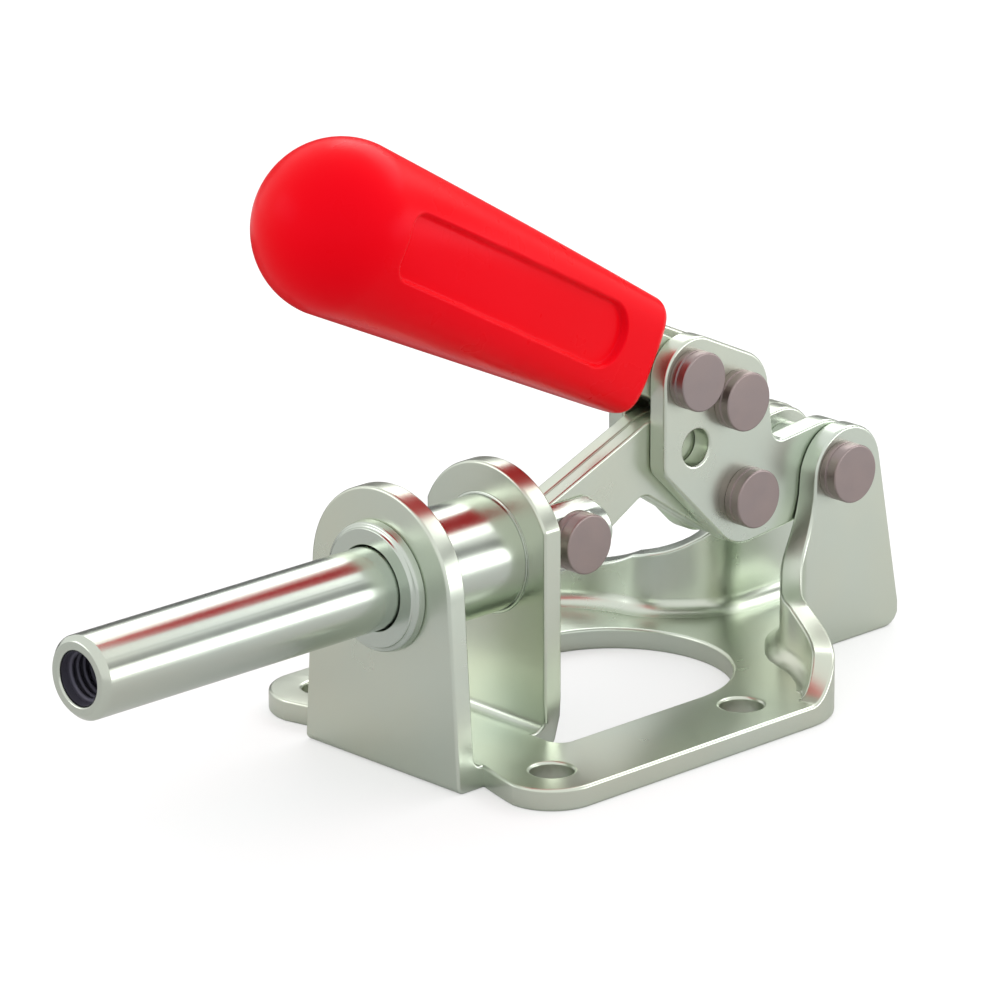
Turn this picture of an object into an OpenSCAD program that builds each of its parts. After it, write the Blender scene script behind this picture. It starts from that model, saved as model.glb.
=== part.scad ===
// Push-pull toggle clamp: a stamped base with two uprights, a sleeve-guided plunger,
// an arched two-ply link and a handle of two plates with a moulded grip.
// X runs forward along the plunger, Y to the near side, Z up. The origin is the centre
// of the four base holes, on the underside.

/* [Base] */
// Thickness of the base sheet
sheet_t = 3.5; // [2.5:0.1:4]
// Height of the plunger axis and of the handle pivot
axis_h = 28.8; // [28:0.1:34]
// Distance between the base holes along the clamp
hole_span_x = 40; // [36:0.5:42]
// Distance between the base holes across the clamp
hole_span_y = 50; // [48:0.5:53]
// Diameter of the base holes
hole_d = 6.6; // [4.5:0.1:8]
// Width of the base flange
flange_w = 66.6; // [65:0.2:74]
// Front edge of the flange, from the hole centre
flange_front = 28.3; // [27:0.1:29]
// Corner radius of the flange at the front
flange_corner_r = 8; // [3:0.5:8]
// Inner radius of the folds
fold_r = 1.5; // [1:0.1:2]
// Width of the base window
window_w = 36.4; // [34:0.2:38]
// Rear end of the base window, from the hole centre
window_rear = 35.9; // [30:0.1:36]

/* [Uprights] */
// Front face of the front upright, from the hole centre
front_face = 31.2; // [30.5:0.1:32]
// Width of the front upright at its foot
front_foot_w = 33.8; // [32:0.2:36]
// Radius of the front upright's head
front_head_r = 15; // [14:0.1:16]
// Front face of the rear upright, from the hole centre
rear_face = 9.6; // [8:0.1:12]
// Width of the rear upright
rear_w = 25.8; // [24.5:0.1:27]
// Radius of the rear upright's head
rear_head_r = 14.1; // [13:0.1:15]

/* [Ears] */
// Handle pivot, behind the hole centre
pivot_back = 57.3; // [55:0.1:60]
// Radius of the ear's head
ear_r = 7.3; // [6.5:0.1:9]
// How far the ear's head sits behind the pivot
ear_back = 1.9; // [0:0.1:3]
// Length of the ear's foot behind the pivot
ear_foot = 14.6; // [13:0.1:18]
// Radius of the flange's rear corner, where the shoulder starts
shoulder_corner_r = 11; // [9:0.5:12]
// Radius of the long shoulder curve
shoulder_r = 25.7; // [25:0.1:27]

/* [Plunger] */
// Diameter of the plunger
plunger_d = 12.7; // [11:0.1:13.5]
// Tip of the plunger, from the hole centre
plunger_tip = 89.6; // [75:0.2:110]
// Link pin in the plunger, behind the hole centre
pin_back = 3.95; // [3:0.05:6]
// Chamfer round the plunger's tip
tip_chamfer = 0.85; // [0.3:0.05:1.5]
// Diameter of the threaded hole in the tip
thread_d = 8; // [5:1:8]
// Depth of the threaded hole
thread_depth = 22; // [12:1:30]

/* [Sleeve] */
// Outer diameter of the guide sleeve
sleeve_d = 18; // [17:0.1:19.4]
// Diameter of the collar on the front upright
collar_d = 20.2; // [19.8:0.1:22]
// How far the collar stands out
collar_l = 2; // [1.5:0.1:3]

/* [Handle] */
// Thickness of each handle plate
plate_t = 3.5; // [2.5:0.1:4]
// Distance from the handle pivot to the link pin
crank_r = 17.4; // [16.5:0.1:18.4]
// How far the link pin drops past dead centre in the locked position
over_centre = 1.04; // [0.4:0.02:1.6]
// Lean of the grip above the plunger axis
grip_lean = 28.5; // [27:0.1:31]
// Front grip rivet, from the pivot along the grip
rivet_front_s = 35.7; // [34:0.1:37]
// Rear grip rivet, from the pivot along the grip
rivet_rear_s = 24.6; // [23:0.1:26]
// Height of the grip's middle line above the pivot
grip_rise = 3.9; // [3.6:0.1:5]
// Width of the bar inside the grip
bar_w = 10; // [8:0.2:10.4]
// Diameter of the spare hole in the plates
spare_d = 5.7; // [4:0.1:7]

/* [Link] */
// Thickness of one of the two link plates
ply_t = 2.65; // [2:0.05:3.2]
// Radius of the link's eye on the plunger
eye_r = 6.2; // [5.6:0.1:6.4]
// Radius of the link's heel, between the handle plates
heel_r = 7.2; // [6.4:0.1:7.4]
// Rise of the link's top edge towards the handle
arm_lean = 21.8; // [20:0.1:23]
// Radius of the arch under the link
arch_r = 2.5; // [1.5:0.1:4]
// Gap between the link's crown and the handle bar in the locked position
stop_gap = 0.3; // [0.2:0.05:0.6]

/* [Grip] */
// Start of the grip, from the pivot along the grip
grip_start = 45.5; // [44:0.5:50]
// End of the grip, from the pivot along the grip
grip_end = 123.5; // [110:0.5:150]
// Height of the grip at its small end
grip_h = 18.8; // [16:0.2:20]
// Thickness of the grip at its small end
grip_t = 15; // [14:0.2:18]
// Diameter of the grip at its big end
ball_d = 26.6; // [24:0.2:30]
// Depth of the oval recess in each side
recess_depth = 0.9; // [0.4:0.1:1.5]

/* [Rivets] */
// Shank diameter of the rivets
shank_d = 7.2; // [5:0.1:7.4]
// Head diameter of the rivets
head_d = 9.3; // [8.4:0.1:10]
// Height of the rivet heads on the handle and the plunger
head_h = 2.9; // [2:0.1:3.5]
// Height of the heads of the pivot rivet
pivot_head_h = 3.3; // [2:0.1:4]

/* [Clearances] */
// Radial play of a turning or sliding fit
running_gap = 0.05; // [0.02:0.01:0.1]
// Side play between the moving plates
side_gap = 0.1; // [0.05:0.01:0.3]

/* [Hidden] */
$fn = 64;
eps = 0.01;

// Layers across the clamp, from the middle outwards
ply_out = ply_t;
plate_in = ply_out + side_gap / 2;
plate_out = plate_in + plate_t;
ear_in = plate_out + side_gap;
ear_out = ear_in + sheet_t;
slot_half = ply_out + side_gap;

// Pivot, link pin and plunger pin in the side view
pivot = [-pivot_back, axis_h];
drop_angle = asin(over_centre / crank_r);
link_pin = pivot + crank_r * [cos(drop_angle), -sin(drop_angle)];
plunger_pin = [-pin_back, axis_h];
grip_dir = [cos(grip_lean), sin(grip_lean)];
grip_up = [-sin(grip_lean), cos(grip_lean)];
function on_grip(s, w) = pivot + s * grip_dir + w * grip_up;
front_rivet_at = on_grip(rivet_front_s, grip_rise);
rear_rivet_at = on_grip(rivet_rear_s, grip_rise);

flange_half = flange_w / 2;
foot_half = front_foot_w / 2;
fold_out = fold_r + sheet_t;
fold_edge = 1.2;
ear_top = axis_h - 0.65 + ear_r;
ear_front = -pivot_back - ear_back + ear_r;
neck_start = ear_front - 0.6;

// Points of an arc round c from angle a0 to a1
function arc(c, r, a0, a1, n = 8) =
    [for (i = [0:n]) c + r * [cos(a0 + (a1 - a0) * i / n), sin(a0 + (a1 - a0) * i / n)]];

// Corner p between the points a and b, rounded to radius r
function corner(a, p, b, r, n = 8) =
    let (u = (a - p) / norm(a - p), v = (b - p) / norm(b - p),
         half = acos(max(-1, min(1, u * v))) / 2)
    r <= 0 || half > 89.5 ? [p] :
    let (t = r / tan(half), c = p + (u + v) / norm(u + v) * r / sin(half),
         s = p + u * t - c, e = p + v * t - c,
         a0 = atan2(s[1], s[0]), d = atan2(s[0] * e[1] - s[1] * e[0], s * e))
    [for (i = [0:n]) c + r * [cos(a0 + d * i / n), sin(a0 + d * i / n)]];

// Closed outline with a radius at each corner: a list of [x, y, r]
function rounded(pts, n = 8) = [for (i = [0:len(pts) - 1])
    let (k = len(pts), a = pts[(i + k - 1) % k], p = pts[i], b = pts[(i + 1) % k])
    each corner([a[0], a[1]], [p[0], p[1]], [b[0], b[1]], p[2], n)];

// Line touching two circles, on the right when walking from c1 to c2. It lies a hair
// inside them, so that it crosses each circle cleanly
touch = 0.002;
function tangent(c1, r1, c2, r2) =
    let (k1 = max(0, r1 - touch), k2 = max(0, r2 - touch), d = c2 - c1,
         a = atan2(d[1], d[0]) - acos((k1 - k2) / norm(d)), n = [cos(a), sin(a)])
    [c1 + k1 * n, c2 + k2 * n];

// Point on a cubic curve with four control points
function bezier(c, t) = pow(1 - t, 3) * c[0] + 3 * t * pow(1 - t, 2) * c[1]
    + 3 * t * t * (1 - t) * c[2] + pow(t, 3) * c[3];

// Side-view outline stretched across the clamp from y0 to y1
module slab(y0, y1) {
    translate([0, y1, 0]) rotate([90, 0, 0]) linear_extrude(y1 - y0) children();
}

// Round bar across the clamp at the side-view point p
module cross_pin(p, r, y0, y1) {
    translate([p[0], y0, p[1]]) rotate([-90, 0, 0]) cylinder(r = r, h = y1 - y0);
}

// Round bar along the plunger axis from x0 to x1
module axis_bar(r, x0, x1) {
    translate([x0, 0, axis_h]) rotate([0, 90, 0]) cylinder(r = r, h = x1 - x0);
}

// Shoulder: the outer face runs from the flange corner back to the ear
corner_turn = 46;
shoulder_turn = 30.4;
knee_turn = 32.7;
knee_r = 6;
neck_r = 8.5;
wall_head = corner_turn + shoulder_turn;
neck_turn = wall_head - knee_turn;
neck_run = (flange_half - ear_out - shoulder_corner_r * (1 - cos(corner_turn))
    - shoulder_r * (cos(corner_turn) - cos(wall_head))
    - knee_r * (cos(neck_turn) - cos(wall_head))
    - neck_r * (1 - cos(neck_turn))) / sin(neck_turn);
shoulder_path = [[shoulder_corner_r * corner_turn * PI / 180, corner_turn],
    [shoulder_r * shoulder_turn * PI / 180, shoulder_turn],
    [knee_r * knee_turn * PI / 180, -knee_turn],
    [neck_run, 0],
    [neck_r * neck_turn * PI / 180, -neck_turn],
    [1, 0]];
shoulder_reach = shoulder_corner_r * sin(corner_turn)
    + shoulder_r * (sin(wall_head) - sin(corner_turn))
    + knee_r * (sin(wall_head) - sin(neck_turn))
    + neck_run * cos(neck_turn) + neck_r * sin(neck_turn);
shoulder_start = [neck_start + shoulder_reach, flange_half];
shoulder_len = shoulder_path[0][0] + shoulder_path[1][0] + shoulder_path[2][0]
    + shoulder_path[3][0] + shoulder_path[4][0];

// Where a path step ends after the length s: [x, y, heading]
function step(g, p, h, s) = g[1] == 0
    ? [p[0] + s * cos(h), p[1] + s * sin(h), h]
    : let (r = g[0] / (g[1] * PI / 180), k = h + g[1] * s / g[0])
      [p[0] - r * sin(h) + r * sin(k), p[1] + r * cos(h) - r * cos(k), k];
function along(s, i = 0, p = shoulder_start, h = 180) =
    let (g = shoulder_path[i])
    s <= g[0] || i == len(shoulder_path) - 1 ? step(g, p, h, s)
    : let (e = step(g, p, h, g[0])) along(s - g[0], i + 1, [e[0], e[1]], e[2]);

// Point at the length s along the shoulder, q inward from the outer face
function inside(s, q) = let (a = along(s)) [a[0] - q * sin(a[2]), a[1] + q * cos(a[2])];

// Top edge of the shoulder over its length, in three smooth curves
low_rise = shoulder_path[0][0];
knee_at = low_rise + shoulder_path[1][0];
wall_start = low_rise * 0.45;
top_curves = [
    [[wall_start, sheet_t + 0.7], [low_rise * 0.8, 7.5], [low_rise, 9], [15, 9.6]],
    [[15, 9.6], [knee_at - 2.6, 10.2], [knee_at - 1, 11.6], [knee_at, 13.1]],
    [[knee_at, 13.1], [knee_at + 6, 14.3], [shoulder_len - 0.8, 14.8], [shoulder_len, axis_h - 1]]];
shoulder_top = [each [for (i = [0:7]) bezier(top_curves[0], i / 8)],
    each [for (i = [0:5]) bezier(top_curves[1], i / 6)],
    each [for (i = [0:10]) bezier(top_curves[2], i / 10)],
    [shoulder_len + 1, axis_h - 1]];

// Section of the folded wall above the floor: q inward from the outer face, z up
wall_skin = 0.03;
wall_root = 1.2;
function wall_section(top, in_r) = concat(
    [[wall_skin, wall_root], [wall_skin, top], [sheet_t - wall_skin, top]],
    arc([sheet_t - wall_skin + in_r, sheet_t - wall_skin + in_r], in_r, 180, 260, 3),
    [[sheet_t + in_r, wall_root]]);

// The folded shoulder on the near side, standing in the floor
module shoulder() {
    rings = [for (q = shoulder_top)
        [for (c = wall_section(q[1], min(fold_r, (q[1] - sheet_t) * 0.7)))
            concat(inside(q[0], c[0]), [c[1]])]];
    m = len(rings[0]);
    n = len(rings);
    polyhedron(points = [for (r = rings) each r],
        faces = concat([[for (j = [m - 1:-1:0]) j]], [[for (j = [0:m - 1]) (n - 1) * m + j]],
            [for (i = [0:n - 2]) for (j = [0:m - 1])
                let (a = i * m + j, b = i * m + (j + 1) % m) each
                [[a, b + m, a + m], [a, b, b + m]]]));
}

// Floor of the base on the near side, from the front edge to the ear
ledge_end = flange_half - flange_corner_r - 0.4;
near_floor = concat(
    [[front_face - fold_out, 0]],
    rounded([[front_face - fold_out, foot_half, 0],
        [flange_front - 0.8, foot_half + 0.56 * (ledge_end - foot_half), 6],
        [flange_front, ledge_end, 0], [flange_front, flange_half, flange_corner_r],
        [shoulder_start[0], flange_half, 0]]),
    [for (i = [1:4]) inside(i / 5 * wall_start, 0)],
    [for (q = shoulder_top) if (q[0] < shoulder_len) inside(q[0], 0)],
    [inside(shoulder_len, 0), inside(shoulder_len + 0.5, ear_out - ear_in),
     [-pivot_back - ear_foot + 3.5, ear_in]]);

module floor_plan() {
    polygon(concat(near_floor, [for (i = [len(near_floor) - 2:-1:1])
        [near_floor[i][0], -near_floor[i][1]]]));
}

// Window in the floor: straight sides and a round rear end
window_front = rear_face + 2.1;
module window_plan() {
    r = window_w / 2;
    translate([-window_rear + r, 0]) circle(r = r, $fn = 96);
    polygon(rounded([[-window_rear + r, -r, 0], [window_front, -r, 2.5],
        [window_front, r, 2.5], [-window_rear + r, r, 0]]));
}

// Folded foot and leg of the front upright, seen from the side
module front_leg() {
    translate([front_face - fold_out, 0]) {
        difference() {
            square([fold_out, axis_h + front_head_r + 5]);
            translate([-eps, sheet_t + fold_r])
                square([fold_r + eps, axis_h + front_head_r + 5]);
            translate([0, fold_out]) circle(r = fold_r);
            difference() {
                translate([fold_out - fold_edge, 0]) square(fold_edge);
                translate([fold_out - fold_edge, fold_edge]) circle(r = fold_edge);
            }
        }
    }
}

// Folded foot and leg of the rear upright, seen from the side
module rear_leg() {
    back = rear_face - sheet_t;
    difference() {
        union() {
            translate([back, 0]) square([fold_out, axis_h + rear_head_r + 5]);
            translate([back + 1, 0]) square([window_front - back, sheet_t]);
        }
        translate([rear_face, fold_out]) square([fold_out, axis_h + rear_head_r + 5]);
        translate([back + fold_out, fold_out]) circle(r = fold_r);
        difference() {
            translate([back - 1, -1]) square(fold_edge + 1);
            translate([back + fold_edge, fold_edge]) circle(r = fold_edge);
        }
    }
}

// Front view of an upright, cut through the whole length of the base
module front_view() {
    translate([-200, 0, 0]) rotate([90, 0, 90]) linear_extrude(400) children();
}

module front_upright_view() {
    translate([0, axis_h]) circle(r = front_head_r, $fn = 96);
    polygon([[-foot_half, 0], [foot_half, 0], [front_head_r, axis_h], [-front_head_r, axis_h]]);
}

module rear_upright_view() {
    intersection() {
        union() {
            translate([0, axis_h]) circle(r = rear_head_r, $fn = 96);
            translate([-rear_head_r, 0]) square([2 * rear_head_r, axis_h]);
        }
        polygon([[-rear_w / 2 + 1.6, 0], [rear_w / 2 - 1.6, 0], [rear_w / 2, 5],
            [rear_w / 2, axis_h + rear_head_r], [-rear_w / 2, axis_h + rear_head_r],
            [-rear_w / 2, 5]]);
    }
}

// Side view of an ear: a round head on a foot that widens to the rear
ear_head = [-pivot_back - ear_back, axis_h - 0.65];
module ear_view() {
    foot = [-pivot_back - ear_foot, 0];
    rear = tangent(ear_head, ear_r, foot, 0);
    translate(ear_head) circle(r = ear_r);
    polygon(concat([[ear_front, 0]], [[ear_front, ear_head[1]]], [rear[0]],
        corner(rear[0], foot, [ear_front, 0], 3)));
}

// Front view of the channel that the ears and their floor make
module channel_view() {
    polygon(rounded([[ear_out, 0, fold_edge], [ear_out, ear_top + 1, 0],
        [ear_in, ear_top + 1, 0], [ear_in, sheet_t, fold_r], [-ear_in, sheet_t, fold_r],
        [-ear_in, ear_top + 1, 0], [-ear_out, ear_top + 1, 0], [-ear_out, 0, fold_edge]], 6));
}

module base_bracket() {
    color("#c9cfc2") difference() {
        union() {
            difference() {
                linear_extrude(sheet_t) floor_plan();
                translate([0, 0, -1]) linear_extrude(sheet_t + 2) window_plan();
            }
            shoulder();
            mirror([0, 1, 0]) shoulder();
            intersection() {
                slab(-ear_out, ear_out) ear_view();
                front_view() channel_view();
            }
            intersection() {
                slab(-foot_half, foot_half) front_leg();
                front_view() front_upright_view();
            }
            intersection() {
                slab(-rear_w / 2, rear_w / 2) rear_leg();
                front_view() rear_upright_view();
            }
        }
        for (x = [-1, 1], y = [-1, 1])
            translate([x * hole_span_x / 2, y * hole_span_y / 2, -1])
                cylinder(d = hole_d, h = sheet_t + 2);
        axis_bar(sleeve_d / 2 + running_gap, rear_face - sheet_t - 1, front_face + 1);
        cross_pin(pivot, shank_d / 2 + running_gap, -ear_out - 1, ear_out + 1);
    }
}

// Sleeve through both uprights, with a collar at the front
module guide_sleeve() {
    r_in = plunger_d / 2 + running_gap;
    r_out = sleeve_d / 2;
    rear = rear_face - sheet_t - 0.2;
    tip = front_face + collar_l;
    color("#b9bfb3") translate([0, 0, axis_h]) rotate([0, 90, 0]) rotate([0, 0, 90])
        rotate_extrude($fn = 96) polygon([[r_in, rear], [r_out - 0.4, rear],
            [r_out, rear + 0.4], [r_out, front_face], [collar_d / 2, front_face],
            [collar_d / 2, tip - 0.7], [collar_d / 2 - 0.2, tip - 0.3],
            [collar_d / 2 - 0.8, tip], [r_in + 0.6, tip], [r_in, tip - 0.6]]);
}

// Rivet across the clamp: two heads seated at seat, and a shank
module rivet(p, seat, head) {
    color("#9a8480") {
        cross_pin(p, shank_d / 2, -seat - eps, seat + eps);
        for (m = [0, 1]) mirror([0, m, 0]) rivet_head(p, seat, head);
    }
}

// Head with a slightly broken edge, outside the seat
module rivet_head(p, seat, head) {
    edge = 0.3;
    translate([p[0], seat, p[1]]) rotate([-90, 0, 0]) rotate_extrude()
        polygon([[0, 0], [head_d / 2, 0], [head_d / 2, head - edge],
            [head_d / 2 - edge, head], [0, head]]);
}

module pivot_rivet() {
    rivet(pivot, ear_out, pivot_head_h);
}

// Tube that keeps the handle plates apart on the pivot
spacer_r = shank_d / 2 + 1.4;
module pivot_spacer() {
    color("#a9aea4") difference() {
        cross_pin(pivot, spacer_r, -plate_in, plate_in);
        cross_pin(pivot, shank_d / 2 + running_gap, -plate_in - 1, plate_in + 1);
    }
}

// The plunger: threaded at the tip, forked and rounded at the rear
fork_end_r = plunger_d / 2 + 0.85;
fork_depth = 21;
seat_y = plunger_d / 2 - 1.2;
module plunger() {
    r = plunger_d / 2;
    rear = -pin_back - fork_end_r;
    color("#d4d6ca") difference() {
        intersection() {
            translate([0, 0, axis_h]) rotate([0, 90, 0]) rotate([0, 0, 90])
                rotate_extrude($fn = 96) polygon([[0, rear], [r, rear],
                    [r, plunger_tip - tip_chamfer], [r - tip_chamfer, plunger_tip],
                    [0, plunger_tip]]);
            union() {
                slab(-r - 1, r + 1) translate(plunger_pin) circle(r = fork_end_r, $fn = 96);
                translate([-pin_back, -r - 1, axis_h - r - 1])
                    cube([plunger_tip + pin_back + 1, plunger_d + 2, plunger_d + 2]);
            }
        }
        translate([rear - 1, -slot_half, axis_h - r - 1])
            cube([fork_depth + 1, 2 * slot_half, plunger_d + 2]);
        axis_bar(thread_d / 2, plunger_tip - thread_depth, plunger_tip + 1);
        cross_pin(plunger_pin, shank_d / 2 + running_gap, -r - 1, r + 1);
        for (m = [0, 1]) mirror([0, m, 0])
            cross_pin(plunger_pin, head_d / 2 + 0.15, seat_y, r + 1);
    }
}

// The link's front pin: the pivot at which the closed linkage is opened,
// so each end stops at the slot
module plunger_rivet() {
    color("#9a8480") for (m = [0, 1]) mirror([0, m, 0]) {
        cross_pin(plunger_pin, shank_d / 2, slot_half, seat_y + eps);
        rivet_head(plunger_pin, seat_y, head_h + 0.55);
    }
}

// Side view of the link: two eyes joined by an arm. Its crown rests under the handle bar
// in the locked position, and its arched underside passes over the pivot when it is open
arch_at = link_pin + [18.5, 3.65];
crown_r = 10;
arm_up = [sin(arm_lean), cos(arm_lean)];
function rests_on(n1, k1, n2, k2, r) = let (d = n1[0] * n2[1] - n1[1] * n2[0])
    [((k1 - r) * n2[1] - (k2 - r) * n1[1]) / d, ((k2 - r) * n1[0] - (k1 - r) * n2[0]) / d];
crown_at = rests_on(arm_up, plunger_pin * arm_up + eye_r,
    grip_up, on_grip(0, grip_rise - bar_w / 2) * grip_up - stop_gap, crown_r);
module link_view() {
    heel = tangent(link_pin, heel_r, arch_at, 0);
    toe = tangent(arch_at, 0, plunger_pin, eye_r);
    top = tangent(plunger_pin, eye_r, crown_at, crown_r);
    back = tangent(crown_at, crown_r, link_pin, heel_r);
    difference() {
        union() {
            translate(plunger_pin) circle(r = eye_r);
            translate(link_pin) circle(r = heel_r);
            intersection() {
                translate(crown_at) circle(r = crown_r);
                translate(arch_at + [-30, 0]) square(60);
            }
            polygon(concat([heel[0]], corner(heel[0], arch_at, toe[1], arch_r), [toe[1]],
                top, back));
        }
        translate(plunger_pin) circle(d = shank_d + 2 * running_gap);
        translate(link_pin) circle(d = shank_d + 2 * running_gap);
    }
}

module link_plate_near() {
    color("#cdd2c6") slab(eps, ply_out) link_view();
}

module link_plate_far() {
    color("#cdd2c6") slab(-ply_out, 0) link_view();
}

module link_rivet() {
    rivet(link_pin, plate_out, head_h);
}

// Side view of a handle plate: a rear arm on the pivot, a lobe round the link pin,
// and a head for the two grip rivets
plate_eye_r = 7.2;
lobe_r = 7.6;
chin_r = 3;
brow_r = 6.5;
nape_r = 7.4;
module handle_plate_view() {
    lobe = link_pin + [-0.4, -0.2];
    brow = front_rivet_at + [-1, -0.15];
    nape = rear_rivet_at;
    chin = [brow[0] + brow_r - chin_r, lobe[1] + brow[0] + brow_r - chin_r - lobe[0]
        - (lobe_r - chin_r) * sqrt(2)];
    notch = [rear_rivet_at[0] - 8.65, axis_h + 6];
    under = tangent(pivot, plate_eye_r, lobe, lobe_r);
    cheek = tangent(lobe, lobe_r, chin, chin_r);
    face = tangent(chin, chin_r, brow, brow_r);
    crest = tangent(brow, brow_r, nape, nape_r);
    back = tangent(nape, nape_r, notch, 0);
    arm = tangent(notch, 0, pivot, plate_eye_r);
    difference() {
        union() {
            translate(pivot) circle(r = plate_eye_r);
            translate(lobe) circle(r = lobe_r);
            translate(chin) circle(r = chin_r);
            translate(brow) circle(r = brow_r);
            translate(nape) circle(r = nape_r);
            polygon(concat(under, cheek, face, crest, [back[0]],
                corner(back[0], notch, arm[1], 2.4, 6), [arm[1]]));
        }
        for (p = [pivot, link_pin, front_rivet_at, rear_rivet_at])
            translate(p) circle(d = shank_d + 2 * running_gap);
        translate(on_grip(29.1, -5.46)) circle(d = spare_d);
    }
}

module handle_plate_near() {
    color("#cbd3c8") slab(plate_in, plate_out) handle_plate_view();
}

module handle_plate_far() {
    color("#cbd3c8") slab(-plate_out, -plate_in) handle_plate_view();
}

// Flat bar between the plates, into the grip
bar_end = grip_end - 18.7;
module bar_view(grow = 0) {
    translate(pivot) rotate(grip_lean) translate([0, grip_rise]) {
        translate([rivet_rear_s, 0]) circle(d = bar_w + 2 * grow);
        translate([rivet_rear_s, -bar_w / 2 - grow])
            square([bar_end - rivet_rear_s + grow, bar_w + 2 * grow]);
    }
}

module handle_bar() {
    color("#b4b9ae") difference() {
        slab(-plate_in, plate_in) bar_view();
        for (p = [front_rivet_at, rear_rivet_at])
            cross_pin(p, shank_d / 2 + running_gap, -plate_in - 1, plate_in + 1);
    }
}

module front_grip_rivet() {
    rivet(front_rivet_at, plate_out, head_h);
}

module rear_grip_rivet() {
    rivet(rear_rivet_at, plate_out, head_h);
}

// Grip: flat-sided at the small end, round at the big end
nose_l = 12.7;
belly = grip_end - nose_l;
grip_sections = 14;
nose_sections = 9;
ring_points = 40;

// Half height, half thickness and squareness of the grip at the length s
function grip_size(s) =
    let (t = max(0, min(1, (s - grip_start) / (belly - grip_start))),
         q = s <= belly ? 1 : sqrt(max(0.0004, 1 - pow((s - belly) / nose_l, 2))))
    [(grip_h / 2 + (ball_d - grip_h) / 2 * t) * q,
     (grip_t / 2 + (ball_d - grip_t) / 2 * sin(90 * t)) * q,
     4.2 - 2.2 * t];

// Rings of the grip, each drawn inward by the depth d
function grip_ring(s, d) =
    let (g = grip_size(s), h = max(0.2, g[0] - d), k = max(0.2, g[1] - d), e = 2 / g[2])
    [for (j = [0:ring_points - 1])
        let (a = 360 * j / ring_points, ca = cos(a), sa = sin(a))
        [s, k * sign(ca) * pow(abs(ca), e), h * sign(sa) * pow(abs(sa), e)]];

module grip_loft(d = 0) {
    stations = concat([grip_start],
        [for (i = [0:grip_sections])
            grip_start + 1 + (belly - grip_start - 1) * i / grip_sections],
        [for (i = [1:nose_sections])
            belly + (nose_l - d) * sin(90 * i / nose_sections)]);
    rings = [for (i = [0:len(stations) - 1])
        grip_ring(stations[i], i == 0 ? d + 0.8 : d)];
    n = len(rings);
    m = ring_points;
    polyhedron(points = [for (r = rings) each r],
        faces = concat([[for (j = [0:m - 1]) j]],
            [[for (j = [m - 1:-1:0]) (n - 1) * m + j]],
            [for (i = [0:n - 2]) for (j = [0:m - 1])
                let (a = i * m + j, b = i * m + (j + 1) % m) each
                [[a, a + m, b + m], [a, b + m, b]]]));
}

// Oval outline of the recess, along the grip
recess_front = grip_end - 14.8;
recess_rear = grip_start + 10;
recess_half = 5.3;
recess_up = 2;
module recess_prism() {
    translate([0, 0, recess_up]) rotate([90, 0, 0]) translate([0, 0, -ball_d])
        linear_extrude(2 * ball_d) {
            for (s = [recess_rear + recess_half, recess_front - recess_half])
                translate([s, 0]) circle(r = recess_half);
            translate([recess_rear + recess_half, -recess_half])
                square([recess_front - recess_rear - 2 * recess_half, 2 * recess_half]);
        }
}

module grip() {
    color("#d8141c") difference() {
        translate([pivot[0], 0, pivot[1]]) rotate([0, -grip_lean, 0])
            translate([0, 0, grip_rise]) difference() {
                grip_loft();
                difference() {
                    recess_prism();
                    grip_loft(recess_depth);
                }
            }
        slab(-plate_in - side_gap / 2, plate_in + side_gap / 2) bar_view(side_gap / 2);
    }
}

base_bracket();
guide_sleeve();
pivot_rivet();
pivot_spacer();
plunger();
plunger_rivet();
link_plate_near();
link_plate_far();
link_rivet();
handle_plate_near();
handle_plate_far();
handle_bar();
front_grip_rivet();
rear_grip_rivet();
grip();
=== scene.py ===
import math

import bmesh
import bpy
from mathutils import Matrix, Vector


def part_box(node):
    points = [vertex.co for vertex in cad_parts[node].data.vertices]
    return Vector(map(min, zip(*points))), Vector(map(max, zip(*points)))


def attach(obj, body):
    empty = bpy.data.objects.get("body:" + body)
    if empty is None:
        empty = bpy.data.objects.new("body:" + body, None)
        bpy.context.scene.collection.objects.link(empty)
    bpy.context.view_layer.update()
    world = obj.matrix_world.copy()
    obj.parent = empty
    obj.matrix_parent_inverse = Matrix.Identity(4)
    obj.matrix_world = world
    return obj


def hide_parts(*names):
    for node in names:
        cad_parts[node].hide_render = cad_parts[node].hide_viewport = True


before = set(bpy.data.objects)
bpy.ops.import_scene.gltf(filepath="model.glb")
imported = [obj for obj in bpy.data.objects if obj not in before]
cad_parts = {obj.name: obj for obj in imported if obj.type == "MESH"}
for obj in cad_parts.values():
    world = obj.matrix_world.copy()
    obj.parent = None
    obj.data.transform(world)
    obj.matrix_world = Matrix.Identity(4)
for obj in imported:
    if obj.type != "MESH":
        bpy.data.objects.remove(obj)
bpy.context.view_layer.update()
print("frame loaded")

mm = 0.001
white = (1, 1, 1, 1)
sharpAngle = math.radians(32)  # an outer corner that turns more than this is rolled over
flatAngle = math.radians(0.5)  # CAD triangles that bend less than this become one face
# points nearer than these become one; in metres
cadGap = 0.004 * mm
weldGap = 1e-6
fineGap = 1e-7
scene = bpy.context.scene
scene.view_settings.view_transform = "Standard"

# where the photographer stood; angles in degrees, lengths in mm
photoCamera = {
    "azimuth": 136.3275,
    "elevation": 18.4037,
    "roll": -0.2093,
    "distance": 1102.27,
    "target": (-68.8455, -78.9194, 0.0),
    "lens": 237.23,
    "sensor": 36,
    "farClip": 20,  # in metres
}


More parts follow.
